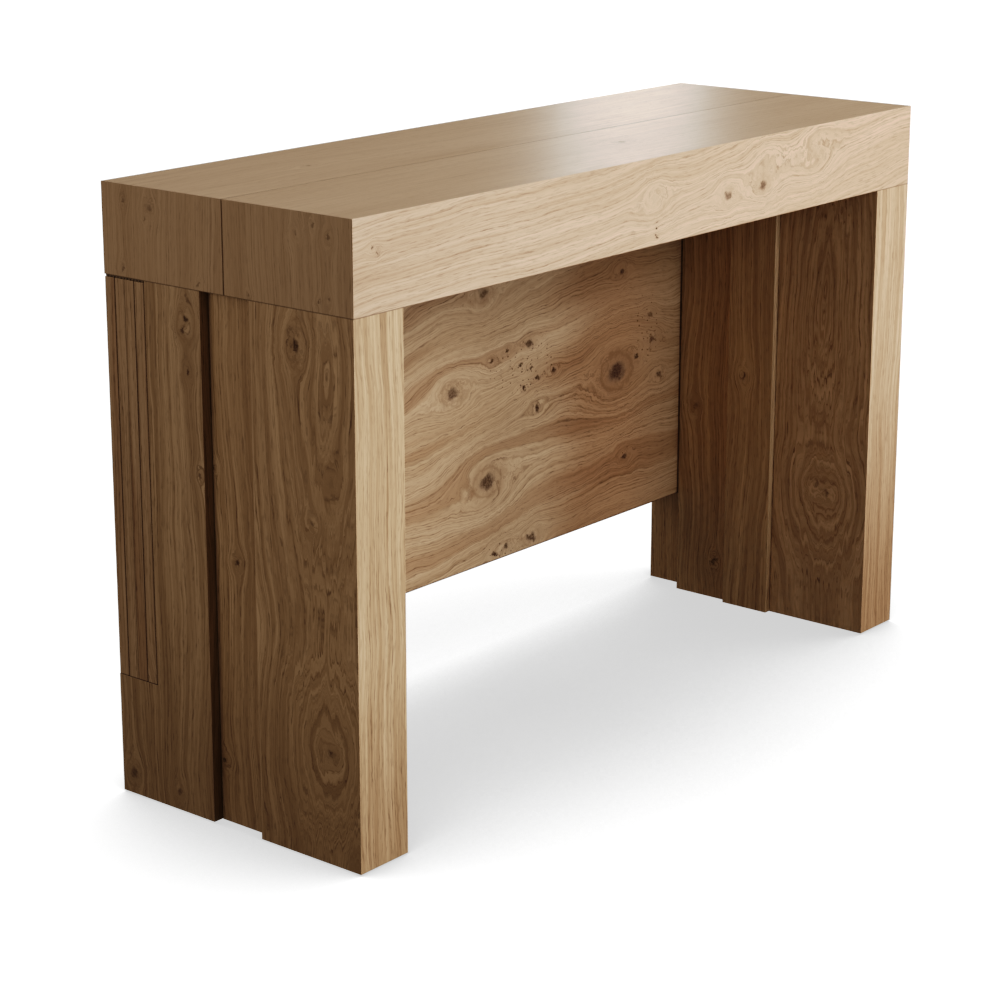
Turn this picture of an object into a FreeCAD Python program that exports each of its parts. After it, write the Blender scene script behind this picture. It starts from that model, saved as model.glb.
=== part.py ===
import FreeCAD, Part
import math
import os
import re

import Sketcher

# Extendable console table: a mitred box on legs whose front half slides out of its rear half on
# telescopic rails. A middle pair of legs follows at half the travel, and four leaves stand on edge
# in notches of the rear legs until they are laid on the open rails.
# Frame: origin on the floor under the centre, +X along the table, front towards -Y, +Z up.
# All lengths are in millimetres.

SIZES = {
    # closed table
    "table_width": 1170.0,
    "table_depth": 400.0,
    "table_height": 770.0,
    "apron_height": 111.0,
    "board_thick": 16.0,
    "seam_gap": 1.0,
    # legs
    "leg_thick": 82.0,
    "rear_foot_thick": 57.0,
    "middle_leg_thick": 78.5,
    "middle_leg_depth": 78.0,
    "middle_leg_gap": 1.0,
    "middle_leg_recess": 13.5,
    "middle_leg_drop": 1.5,
    # glides under the legs
    "glide_height": 2.0,
    "glide_diameter": 28.0,
    "glide_inset": 20.0,
    # stored leaves
    "leaf_width": 500.0,
    "leaf_gap": 0.8,
    "leaf_pair_gap": 0.3,
    "leaf_front_gap": 1.1,
    "leaf_top_gap": 3.0,
    # telescopic rails
    "rail_height": 40.0,
    "rail_pitch": 16.0,
    "rail_gap": 0.5,
    "rail_clearance": 0.3,
    "rail_end_gap": 9.0,
    "groove_lip": 2.7,
    "groove_stop": 10.0,
    "tongue_length": 89.5,
    "tongue_root": 2.0,
    "tongue_neck": 5.0,
    "tongue_head": 12.0,
    "tongue_head_thick": 3.0,
    "slide_clearance": 0.3,
    # battens that carry the end rails
    "batten_thick": 20.0,
    # blocks above the corner legs and the beam above the middle legs
    "block_clearance": 4.7,
    "carrier_height": 16.0,
    "beam_inset": 9.0,
    "beam_end_gap": 4.0,
    # leg bolts
    "bolt_diameter": 8.0,
    "bolt_length": 80.0,
    "bolt_head_diameter": 13.0,
    "bolt_head_height": 8.0,
    "bolt_inset": 22.0,
    "middle_bolt_spread": 36.0,
    # screws of the rails and carriers
    "screw_diameter": 4.0,
    "screw_head_diameter": 8.0,
    "screw_head_height": 3.5,
    "screw_bite": 7.0,
    "rail_screw_length": 24.0,
    "rail_screw_inset": 40.0,
    "rail_screw_rise": 8.0,
    "carrier_screw_spread": 36.0,
    # room in every screw hole
    "hole_clearance": 0.1,
    "head_sink": 0.8,
    "tip_gap": 1.0,
    # plates that keep the leaves from tipping out at the back
    "retainer_width": 40.0,
    "retainer_height": 40.0,
    "retainer_thick": 0.7,
    "retainer_lap": 15.0,
    "retainer_spread": 600.0,
    "retainer_clearance": 0.3,
    "retainer_screw_diameter": 3.5,
    "retainer_screw_length": 12.0,
    "retainer_screw_spread": 20.0,
    "retainer_screw_rise": 12.0,
    # how far a cutting shape reaches past the face it opens
    "cut_margin": 1.0,
}

RAIL_STEPS = 8
MIDDLE_STEP = 4

# Places that several pieces share
HALF_WIDTH = "(table_width / 2)"
HALF_DEPTH = "(table_depth / 2)"
HALF_SEAM = "(seam_gap / 2)"
TOP_UNDERSIDE = "(table_height - board_thick)"
APRON_BOTTOM = "(table_height - apron_height)"
APRON_INNER_X = "(table_width / 2 - board_thick)"
APRON_INNER_Y = "(table_depth / 2 - board_thick)"

LEG_INNER_X = "(table_width / 2 - leg_thick)"
LEG_CENTRE_X = "(table_width / 2 - leg_thick / 2)"
LEG_SEAM_Y = "(middle_leg_depth / 2 + middle_leg_gap)"
REAR_FOOT_X = "(table_width / 2 - rear_foot_thick)"
REAR_FOOT_CENTRE_X = "(table_width / 2 - rear_foot_thick / 2)"
MIDDLE_OUTER_X = "(table_width / 2 - middle_leg_recess)"
MIDDLE_INNER_X = f"({MIDDLE_OUTER_X} - middle_leg_thick)"
MIDDLE_CENTRE_X = f"({MIDDLE_OUTER_X} - middle_leg_thick / 2)"
MIDDLE_TOP = f"({APRON_BOTTOM} - middle_leg_drop)"

LEAF_TOP = f"({APRON_BOTTOM} - leaf_top_gap)"
NOTCH_FLOOR = f"({LEAF_TOP} - leaf_width)"
LEAF_REARS = [f"({HALF_DEPTH} - retainer_thick - retainer_clearance)"]
for gap in ("leaf_gap", "leaf_pair_gap", "leaf_gap"):
    LEAF_REARS.insert(0, f"({LEAF_REARS[0]} - board_thick - {gap})")
NOTCH_WALL = f"({LEAF_REARS[0]} - board_thick - leaf_front_gap)"

RAIL_TOP = f"({TOP_UNDERSIDE} - rail_clearance)"
RAIL_BOTTOM = f"({RAIL_TOP} - rail_height)"
RAIL_MIDDLE = f"({RAIL_TOP} - rail_height / 2)"
RAIL_START = f"({APRON_INNER_X} - batten_thick)"
RAIL_FRONT = f"({APRON_INNER_Y} - rail_end_gap)"
RAIL_LENGTH = f"(2 * {RAIL_FRONT})"
RAIL_SCREW_Z = f"({RAIL_BOTTOM} + rail_screw_rise)"

BLOCK_TOP = f"({RAIL_BOTTOM} - block_clearance)"
BEAM_TOP = f"({RAIL_BOTTOM} - carrier_height)"
BEAM_HALF_DEPTH = "(middle_leg_depth / 2 - beam_inset)"
BEAM_END = f"({APRON_INNER_X} - beam_end_gap)"

AXIS_TURNS = {
    "x": FreeCAD.Rotation(FreeCAD.Vector(0, 1, 0), 90),
    "y": FreeCAD.Rotation(FreeCAD.Vector(1, 0, 0), -90),
    "z": FreeCAD.Rotation(),
}
HALF_TURN = FreeCAD.Rotation(FreeCAD.Vector(0, 0, 1), 180)
# a sketch's corners start on a circle, before the sheet places them
SKETCH_START_RADIUS = 100

doc = FreeCAD.newDocument("extendable_console_table")
sheet = doc.addObject("Spreadsheet::Sheet", "Sizes")
for row, (alias, value) in enumerate(SIZES.items(), start=1):
    sheet.set(f"A{row}", alias)
    sheet.set(f"B{row}", str(value))
    sheet.setAlias(f"B{row}", alias)
doc.recompute()

pieces = []


def bind(item, prop, text):
    """Bind a property to a sum of size names on the sheet."""
    item.setExpression(prop, re.sub(r"\b([a-z]\w+)\b", r"Sizes.\1", text))


def piece(item, name):
    """Name a finished piece of the table."""
    item.Label = name
    pieces.append(item)
    return item


def mirrored(source):
    """The mirror image of a right-hand shape on the left side."""
    item = doc.addObject("Part::Mirroring", f"{source.Name}_mirrored")
    item.Source = source
    item.Normal = FreeCAD.Vector(1, 0, 0)
    return item


def pair(item, name):
    """Name a right-hand piece and its mirror image on the left."""
    piece(item, f"{name}_right")
    piece(mirrored(item), f"{name}_left")


def both_sides(items):
    """Right-hand shapes together with their mirror images."""
    return items + [mirrored(item) for item in items]


def group(items, name):
    """One piece made of several identical separate solids."""
    bundle = doc.addObject("Part::Compound", name)
    bundle.Links = items
    return piece(bundle, name)


def fused(items, name):
    """One solid from several shapes that touch."""
    item = doc.addObject("Part::MultiFuse", name)
    item.Shapes = items
    return item


def cut(base, tools, name):
    """A shape with holes or recesses taken out."""
    item = doc.addObject("Part::Cut", name)
    item.Base = base
    item.Tool = fused(tools, f"{name}_tools")
    return item


def box(name, x, y, z):
    """A box from three pairs of places, low and high."""
    item = doc.addObject("Part::Box", name)
    for prop, axis, (low, high) in zip(("Length", "Width", "Height"), "xyz", (x, y, z)):
        bind(item, prop, f"({high}) - ({low})")
        bind(item, f"Placement.Base.{axis}", low)
    return item


def rod(name, axis, low, high, centre, diameter):
    """A round rod along one axis, centred on places of the other two."""
    item = doc.addObject("Part::Cylinder", name)
    item.Placement = FreeCAD.Placement(FreeCAD.Vector(), AXIS_TURNS[axis])
    bind(item, "Radius", f"({diameter}) / 2")
    bind(item, "Height", f"({high}) - ({low})")
    for word, place in {axis: low, **centre}.items():
        bind(item, f"Placement.Base.{word}", place)
    return item


def cone(name, low, high, centre, narrow, wide):
    """A cone along the depth of the table that widens towards the back."""
    item = doc.addObject("Part::Cone", name)
    item.Placement = FreeCAD.Placement(FreeCAD.Vector(), AXIS_TURNS["y"])
    bind(item, "Radius1", f"({narrow}) / 2")
    bind(item, "Radius2", f"({wide}) / 2")
    bind(item, "Height", f"({high}) - ({low})")
    for word, place in {"y": low, **centre}.items():
        bind(item, f"Placement.Base.{word}", place)
    return item


def span(start, way, length):
    """The low and high ends of a stretch that runs one way from its start."""
    if way > 0:
        return start, f"{start} + {length}"
    return f"{start} - ({length})", start


def fastener(name, kind, axis, way, seat, length, centre):
    """A bolt or screw whose head sits at its seat and whose shank points one way."""
    head_ends = span(seat, -way, f"{kind}_head_height")
    head = rod(f"{name}_head", axis, *head_ends, centre, f"{kind}_head_diameter")
    shank = rod(f"{name}_shank", axis, *span(seat, way, length), centre, f"{kind}_diameter")
    return fused([head, shank], name)


def fastener_hole(name, kind, axis, way, seat, length, centre):
    """The room that a bolt or screw needs in the pieces it goes through."""
    head_room = f"{kind}_head_height + head_sink + cut_margin"
    head_width = f"{kind}_head_diameter + 2 * hole_clearance"
    shank_width = f"{kind}_diameter + 2 * hole_clearance"
    head = rod(f"{name}_head", axis, *span(seat, -way, head_room), centre, head_width)
    shank = rod(f"{name}_shank", axis, *span(seat, way, f"{length} + tip_gap"), centre, shank_width)
    return fused([head, shank], name)


def fitted(name, kind, axis, way, seat, length, centres):
    """Several fasteners of one kind, as solids and as a maker of their holes."""
    solids = []
    for number, centre in enumerate(centres, start=1):
        solids.append(fastener(f"{name}_{number}", kind, axis, way, seat, length, centre))

    def holes(where):
        tools = []
        for number, centre in enumerate(centres, start=1):
            label = f"{name}_{number}_hole_in_{where}"
            tools.append(fastener_hole(label, kind, axis, way, seat, length, centre))
        return tools

    return solids, holes


def mitred_board(name, turn, inner, outer, across, inner_across, up, inner_up):
    """A board from its inner to its outer face, whose ends are cut back on the inner face."""
    item = doc.addObject("Part::Wedge", name)
    item.Placement = FreeCAD.Placement(FreeCAD.Vector(), turn)
    limits = {
        "Xmin": inner_across[0], "Xmax": inner_across[1], "X2min": across[0], "X2max": across[1],
        "Ymin": inner, "Ymax": outer,
        "Zmin": inner_up[0], "Zmax": inner_up[1], "Z2min": up[0], "Z2max": up[1],
    }
    for prop, place in limits.items():
        bind(item, prop, place)
    return item


def origin_plane(item, role):
    """One of a body's own origin planes."""
    return next(plane for plane in item.Origin.OriginFeatures if plane.Role == role)


def outline(item, name, role, offset, corners):
    """A closed straight-sided sketch whose corners are placed from the sheet."""
    sketch = item.newObject("Sketcher::SketchObject", name)
    sketch.AttachmentSupport = (origin_plane(item, role), [""])
    sketch.MapMode = "FlatFace"
    bind(sketch, "AttachmentOffset.Base.z", offset)
    count = len(corners)
    starts = []
    for number in range(count):
        angle = 2 * math.pi * number / count
        starts.append(FreeCAD.Vector(math.cos(angle), math.sin(angle), 0) * SKETCH_START_RADIUS)
    for number in range(count):
        sketch.addGeometry(Part.LineSegment(starts[number], starts[(number + 1) % count]))
    for number in range(count):
        sketch.addConstraint(Sketcher.Constraint("Coincident", number, 2, (number + 1) % count, 1))
    for number, corner in enumerate(corners):
        for kind, place, start in zip(("DistanceX", "DistanceY"), corner, starts[number]):
            index = sketch.addConstraint(Sketcher.Constraint(kind, -1, 1, number, 1, start))
            bind(sketch, f"Constraints[{index}]", place)
    return sketch


def rectangle(x, y):
    """The corners of a rectangle from two pairs of places."""
    return [(x[0], y[0]), (x[1], y[0]), (x[1], y[1]), (x[0], y[1])]


def pad(item, name, sketch, length, backwards=False):
    """Raise a sketch into a solid."""
    feature = item.newObject("PartDesign::Pad", name)
    feature.Profile = sketch
    feature.Reversed = backwards
    bind(feature, "Length", length)
    return feature


def pocket(item, name, sketch, length):
    """Sink a sketch into a solid."""
    feature = item.newObject("PartDesign::Pocket", name)
    feature.Profile = sketch
    bind(feature, "Length", length)
    return feature


# Mitred boards of the two half boxes

def half_box(half, turn, near_side):
    """The top and the two side aprons of one half, and the outline of its long apron."""
    top_turn = turn.multiply(FreeCAD.Rotation(FreeCAD.Vector(1, 0, 0), 90))
    side_turn = turn.multiply(FreeCAD.Rotation(FreeCAD.Vector(0, 0, 1), -90))
    depth = (f"-{HALF_DEPTH}", f"-{HALF_SEAM}")
    inner_depth = (f"-{APRON_INNER_Y}", f"-{HALF_SEAM}")
    width = (f"-{HALF_WIDTH}", HALF_WIDTH)
    inner_width = (f"-{APRON_INNER_X}", APRON_INNER_X)
    rise = (APRON_BOTTOM, "table_height")
    inner_rise = (APRON_BOTTOM, TOP_UNDERSIDE)
    top = mitred_board(f"{half}_top", top_turn, TOP_UNDERSIDE, "table_height",
                       width, inner_width, depth, inner_depth)
    piece(top, f"{half}_top_panel")
    side = mitred_board(f"{half}_side", side_turn, APRON_INNER_X, HALF_WIDTH,
                        depth, inner_depth, rise, inner_rise)
    far_side = {"right": "left", "left": "right"}[near_side]
    piece(side, f"{half}_side_apron_{near_side}")
    piece(mirrored(side), f"{half}_side_apron_{far_side}")
    return mitred_board(f"{half}_long_apron", turn, APRON_INNER_Y, HALF_DEPTH,
                        width, inner_width, rise, inner_rise)


back_apron_blank = half_box("rear", FreeCAD.Rotation(), "right")
piece(half_box("front", HALF_TURN, "left"), "front_apron")


# Plates on the back that keep the leaves upright, two on the apron and one on each rear leg

PLATE_SEAT = f"({HALF_DEPTH} - retainer_thick)"
APRON_PLATE_LOW = f"({LEAF_TOP} - retainer_lap)"
LEG_PLATE_LOW = f"({NOTCH_FLOOR} + retainer_lap - retainer_height)"
PLATES = {
    "apron": {
        "x": "(retainer_spread / 2)",
        "low": APRON_PLATE_LOW,
        "recess": (f"{APRON_BOTTOM} - cut_margin", f"{APRON_PLATE_LOW} + retainer_height + hole_clearance"),
        "screw_z": f"({APRON_BOTTOM} + retainer_screw_rise)",
    },
    "leg": {
        "x": REAR_FOOT_CENTRE_X,
        "low": LEG_PLATE_LOW,
        "recess": (f"{LEG_PLATE_LOW} - hole_clearance", f"{NOTCH_FLOOR} + cut_margin"),
        "screw_z": f"({NOTCH_FLOOR} - retainer_screw_rise)",
    },
}


def retainer(place):
    """One plate with its countersunk screws, and the recess and screw holes it needs behind it."""
    spot = PLATES[place]
    sides = (f"{spot['x']} - retainer_width / 2", f"{spot['x']} + retainer_width / 2")
    blank = box(f"{place}_plate_blank", sides, (PLATE_SEAT, HALF_DEPTH),
                (spot["low"], f"{spot['low']} + retainer_height"))
    room = (f"{sides[0]} - hole_clearance", f"{sides[1]} + hole_clearance")
    recess = box(f"{place}_plate_recess", room, (PLATE_SEAT, f"{HALF_DEPTH} + cut_margin"), spot["recess"])
    screws = []
    sinks = []
    holes = [recess]
    neck = "retainer_screw_diameter"
    rim = "retainer_screw_diameter + 2 * retainer_thick"
    room_each_way = "2 * hole_clearance"
    tip = f"({PLATE_SEAT} - retainer_screw_length)"
    for number, sign in enumerate("+-", start=1):
        name = f"{place}_plate_screw_{number}"
        centre = {"x": f"{spot['x']} {sign} retainer_screw_spread / 2", "z": spot["screw_z"]}
        head = cone(f"{name}_head", PLATE_SEAT, HALF_DEPTH, centre, neck, rim)
        shank = rod(f"{name}_shank", "y", tip, PLATE_SEAT, centre, neck)
        screws.append(fused([head, shank], name))
        sinks.append(cone(f"{name}_sink", PLATE_SEAT, HALF_DEPTH, centre,
                          f"{neck} + {room_each_way}", f"{rim} + {room_each_way}"))
        holes.append(rod(f"{name}_hole", "y", f"{tip} - tip_gap", f"{PLATE_SEAT} + cut_margin", centre,
                         f"{neck} + {room_each_way}"))
    plate = cut(blank, sinks, f"{place}_plate")
    return plate, screws, holes


apron_plate, apron_plate_screws, apron_plate_holes = retainer("apron")
leg_plate, leg_plate_screws, leg_plate_holes = retainer("leg")
group(both_sides([apron_plate, leg_plate]), "leaf_retainers")
group(both_sides(apron_plate_screws + leg_plate_screws), "retainer_screws")
piece(cut(back_apron_blank, both_sides(apron_plate_holes), "back_apron"), "back_apron")


# Corner legs with the blocks and bolts that hold them

def upright(name, corners, top):
    """A leg body standing on its glides."""
    item = doc.addObject("PartDesign::Body", name)
    foot = outline(item, f"{name}_plan", "XY_Plane", "glide_height", corners)
    pad(item, f"{name}_post", foot, f"{top} - glide_height")
    return item


def corner(half, leg_blank, block_depth, bolt_places, extra_holes):
    """A corner leg, its block and its bolts on both sides."""
    seat = f"({BLOCK_TOP} - head_sink - bolt_head_height)"
    centre_x = f"(({LEG_INNER_X} + {APRON_INNER_X}) / 2)"
    centres = [{"x": centre_x, "y": place} for place in bolt_places]
    bolts, holes = fitted(f"{half}_leg_bolt", "bolt", "z", -1, seat, "bolt_length", centres)
    pair(cut(leg_blank, holes("leg") + extra_holes, f"{half}_leg"), f"{half}_leg")
    block_width = (LEG_INNER_X, APRON_INNER_X)
    blank = box(f"{half}_block_blank", block_width, block_depth, (APRON_BOTTOM, BLOCK_TOP))
    pair(cut(blank, holes("block"), f"{half}_block"), f"{half}_corner_block")
    group(both_sides(bolts), f"{half}_leg_bolts")


leg_width = (LEG_INNER_X, HALF_WIDTH)
rear_leg_blank = upright("rear_leg_blank", rectangle(leg_width, (LEG_SEAM_Y, NOTCH_WALL)), APRON_BOTTOM)
rear_foot = outline(rear_leg_blank, "rear_leg_foot_plan", "XY_Plane", "glide_height",
                    rectangle((REAR_FOOT_X, HALF_WIDTH), (LEG_SEAM_Y, HALF_DEPTH)))
pad(rear_leg_blank, "rear_leg_foot", rear_foot, f"{NOTCH_FLOOR} - glide_height")
corner("rear", rear_leg_blank, (LEG_SEAM_Y, APRON_INNER_Y),
       (f"{LEG_SEAM_Y} + bolt_inset", f"{NOTCH_WALL} - bolt_inset"), leg_plate_holes)

front_leg_blank = upright("front_leg_blank",
                          rectangle(leg_width, (f"-{HALF_DEPTH}", f"-{LEG_SEAM_Y}")), APRON_BOTTOM)
corner("front", front_leg_blank, (f"-{APRON_INNER_Y}", f"-{LEG_SEAM_Y}"),
       (f"-{LEG_SEAM_Y} - bolt_inset", f"-{APRON_INNER_Y} + bolt_inset"), [])


# Telescopic rails, each with a tongue that runs in the groove of the next one inboard

def rail_outer(step):
    """The outboard face of a rail."""
    return f"({RAIL_START} - {step} * rail_pitch)"


def rail_inner(step):
    """The inboard face of a rail."""
    return f"({rail_outer(step + 1)} + rail_gap)"


def tee(root, neck_end, far_end, neck, head):
    """The corners of a tee that lies on its side, head inboard."""
    neck_low = f"{RAIL_MIDDLE} - ({neck}) / 2"
    neck_high = f"{RAIL_MIDDLE} + ({neck}) / 2"
    head_low = f"{RAIL_MIDDLE} - ({head}) / 2"
    head_high = f"{RAIL_MIDDLE} + ({head}) / 2"
    return [(root, neck_low), (neck_end, neck_low), (neck_end, head_low), (far_end, head_low),
            (far_end, head_high), (neck_end, head_high), (neck_end, neck_high), (root, neck_high)]


def rail(step):
    """A right-hand rail with the tongue and groove that its place in the row needs."""
    item = doc.addObject("PartDesign::Body", f"rail_{step}")
    section = rectangle((rail_inner(step), rail_outer(step)), (RAIL_BOTTOM, RAIL_TOP))
    bar = outline(item, f"rail_{step}_section", "XZ_Plane", RAIL_FRONT, section)
    pad(item, f"rail_{step}_bar", bar, RAIL_LENGTH, backwards=True)
    if step > 0:
        lip = f"{rail_outer(step)} - groove_lip"
        tee_groove = tee(f"{rail_outer(step)} + cut_margin", lip,
                         f"{lip} - tongue_head_thick - 2 * slide_clearance",
                         "tongue_neck + 2 * slide_clearance", "tongue_head + 2 * slide_clearance")
        groove = outline(item, f"rail_{step}_groove_section", "XZ_Plane", RAIL_FRONT, tee_groove)
        pocket(item, f"rail_{step}_groove", groove, f"{RAIL_LENGTH} - groove_stop")
    if step < RAIL_STEPS:
        behind_lip = f"{rail_outer(step + 1)} - groove_lip - slide_clearance"
        tee_tongue = tee(f"{rail_inner(step)} + tongue_root", behind_lip,
                         f"{behind_lip} - tongue_head_thick", "tongue_neck", "tongue_head")
        tongue = outline(item, f"rail_{step}_tongue_section", "XZ_Plane", RAIL_FRONT, tee_tongue)
        pad(item, f"rail_{step}_tongue", tongue, "tongue_length", backwards=True)
    return item


rails = [rail(step) for step in range(RAIL_STEPS + 1)]
for step in range(1, RAIL_STEPS):
    if step != MIDDLE_STEP:
        pair(rails[step], f"rail_{step}")


# Battens that carry the first and the last rail

def carried_rail(half, step, batten_x, batten_y, seat, screw_places):
    """An end rail, its batten and the screws between them on both sides."""
    centres = [{"y": place, "z": RAIL_SCREW_Z} for place in screw_places]
    screws, holes = fitted(f"{half}_rail_screw", "screw", "x", 1, seat, "rail_screw_length", centres)
    pair(cut(rails[step], holes("rail"), f"{half}_rail"), f"{half}_rail")
    blank = box(f"{half}_batten_blank", batten_x, batten_y, (RAIL_BOTTOM, TOP_UNDERSIDE))
    pair(cut(blank, holes("batten"), f"{half}_batten"), f"{half}_rail_batten")
    group(both_sides(screws), f"{half}_rail_screws")


carried_rail("rear", 0, (RAIL_START, APRON_INNER_X), (HALF_SEAM, APRON_INNER_Y),
             f"({rail_inner(0)} + head_sink + screw_head_height)",
             (f"{HALF_SEAM} + rail_screw_inset", f"{APRON_INNER_Y} - rail_screw_inset"))

FRONT_BATTEN_INNER = f"({rail_inner(RAIL_STEPS)} - batten_thick)"
carried_rail("front", RAIL_STEPS,
             (FRONT_BATTEN_INNER, rail_inner(RAIL_STEPS)), (f"-{APRON_INNER_Y}", f"-{HALF_SEAM}"),
             f"({FRONT_BATTEN_INNER} + head_sink + screw_head_height)",
             (f"-{HALF_SEAM} - rail_screw_inset", f"-{APRON_INNER_Y} + rail_screw_inset"))


# Middle portal: two legs under a beam that hangs from the middle rails

middle_seat = f"({BEAM_TOP} - head_sink - bolt_head_height)"
middle_centres = [{"x": MIDDLE_CENTRE_X, "y": f"{sign} middle_bolt_spread / 2"} for sign in ("-", "")]
middle_bolts, middle_bolt_holes = fitted("middle_leg_bolt", "bolt", "z", -1,
                                         middle_seat, "bolt_length", middle_centres)
group(both_sides(middle_bolts), "middle_leg_bolts")

middle_leg_blank = upright("middle_leg_blank", rectangle((MIDDLE_INNER_X, MIDDLE_OUTER_X),
                           ("-middle_leg_depth / 2", "middle_leg_depth / 2")), MIDDLE_TOP)
pair(cut(middle_leg_blank, middle_bolt_holes("leg"), "middle_leg"), "middle_leg")

carrier_x = (rail_inner(MIDDLE_STEP), rail_outer(MIDDLE_STEP))
carrier_seat = f"({MIDDLE_TOP} + head_sink + screw_head_height)"
carrier_length = f"({RAIL_BOTTOM} + screw_bite - {carrier_seat})"
carrier_centre_x = f"({carrier_x[0]} + {carrier_x[1]}) / 2"
carrier_centres = [{"x": carrier_centre_x, "y": f"{sign} carrier_screw_spread / 2"} for sign in ("-", "")]
carrier_screws, carrier_holes = fitted("carrier_screw", "screw", "z", 1,
                                       carrier_seat, carrier_length, carrier_centres)
group(both_sides(carrier_screws), "carrier_screws")

beam_depth = (f"-{BEAM_HALF_DEPTH}", BEAM_HALF_DEPTH)
carrier_blank = box("carrier_blank", carrier_x, beam_depth, (BEAM_TOP, RAIL_BOTTOM))
pair(cut(carrier_blank, carrier_holes("carrier"), "carrier"), "middle_carrier")
pair(cut(rails[MIDDLE_STEP], carrier_holes("rail"), "middle_rail"), "middle_rail")
beam_blank = box("beam_blank", (f"-{BEAM_END}", BEAM_END), beam_depth, (MIDDLE_TOP, BEAM_TOP))
beam_holes = both_sides(middle_bolt_holes("beam") + carrier_holes("beam"))
piece(cut(beam_blank, beam_holes, "middle_beam"), "middle_beam")


# Glides, two under each leg

def glides(half, centres):
    """The round glides under one pair of legs."""
    discs = []
    for number, (x, y) in enumerate(centres, start=1):
        centre = {"x": x, "y": y}
        discs.append(rod(f"{half}_glide_{number}", "z", "0", "glide_height", centre, "glide_diameter"))
    group(both_sides(discs), f"{half}_leg_glides")


glides("front", [(LEG_CENTRE_X, f"-{HALF_DEPTH} + glide_inset"),
                 (LEG_CENTRE_X, f"-{LEG_SEAM_Y} - glide_inset")])
glides("middle", [(MIDDLE_CENTRE_X, "glide_inset - middle_leg_depth / 2"),
                  (MIDDLE_CENTRE_X, "middle_leg_depth / 2 - glide_inset")])
glides("rear", [(LEG_CENTRE_X, f"{LEG_SEAM_Y} + glide_inset"),
                (REAR_FOOT_CENTRE_X, f"{HALF_DEPTH} - glide_inset")])


# Leaves on edge in the notches, the front one first

for number, rear in enumerate(LEAF_REARS, start=1):
    thickness = (f"{rear} - board_thick", rear)
    leaf = box(f"leaf_{number}", (f"-{HALF_WIDTH}", HALF_WIDTH), thickness, (NOTCH_FLOOR, LEAF_TOP))
    piece(leaf, f"leaf_{number}")


# Check every shape, then write each piece

doc.recompute()
failed = [item.Name for item in doc.Objects if {"Invalid", "Error"} & set(item.State)]
if failed:
    raise RuntimeError(f"failed features: {failed}")
for item in pieces:
    if item.Shape.isNull() or not item.Shape.isValid() or not item.Shape.Solids:
        raise RuntimeError(f"bad shape: {item.Label}")

os.makedirs("parts", exist_ok=True)
for item in pieces:
    item.Shape.exportStep(f"parts/{item.Label}.step")
    print(item.Label, len(item.Shape.Solids), round(item.Shape.Volume))
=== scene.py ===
import math

import bmesh
import bpy
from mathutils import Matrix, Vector


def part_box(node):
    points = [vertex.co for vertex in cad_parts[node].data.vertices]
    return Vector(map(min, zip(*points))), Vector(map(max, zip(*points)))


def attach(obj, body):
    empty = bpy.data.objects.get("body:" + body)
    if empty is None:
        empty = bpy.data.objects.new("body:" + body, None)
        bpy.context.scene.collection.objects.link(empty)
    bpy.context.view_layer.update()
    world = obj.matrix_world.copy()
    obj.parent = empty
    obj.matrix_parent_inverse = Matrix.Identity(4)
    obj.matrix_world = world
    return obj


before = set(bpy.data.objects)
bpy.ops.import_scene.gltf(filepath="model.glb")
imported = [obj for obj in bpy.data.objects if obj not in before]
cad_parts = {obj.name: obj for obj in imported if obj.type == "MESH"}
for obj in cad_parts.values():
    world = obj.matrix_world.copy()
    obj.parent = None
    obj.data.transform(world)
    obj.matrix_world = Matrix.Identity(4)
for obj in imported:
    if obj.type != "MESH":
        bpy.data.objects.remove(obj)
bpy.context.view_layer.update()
scene = bpy.context.scene


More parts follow.
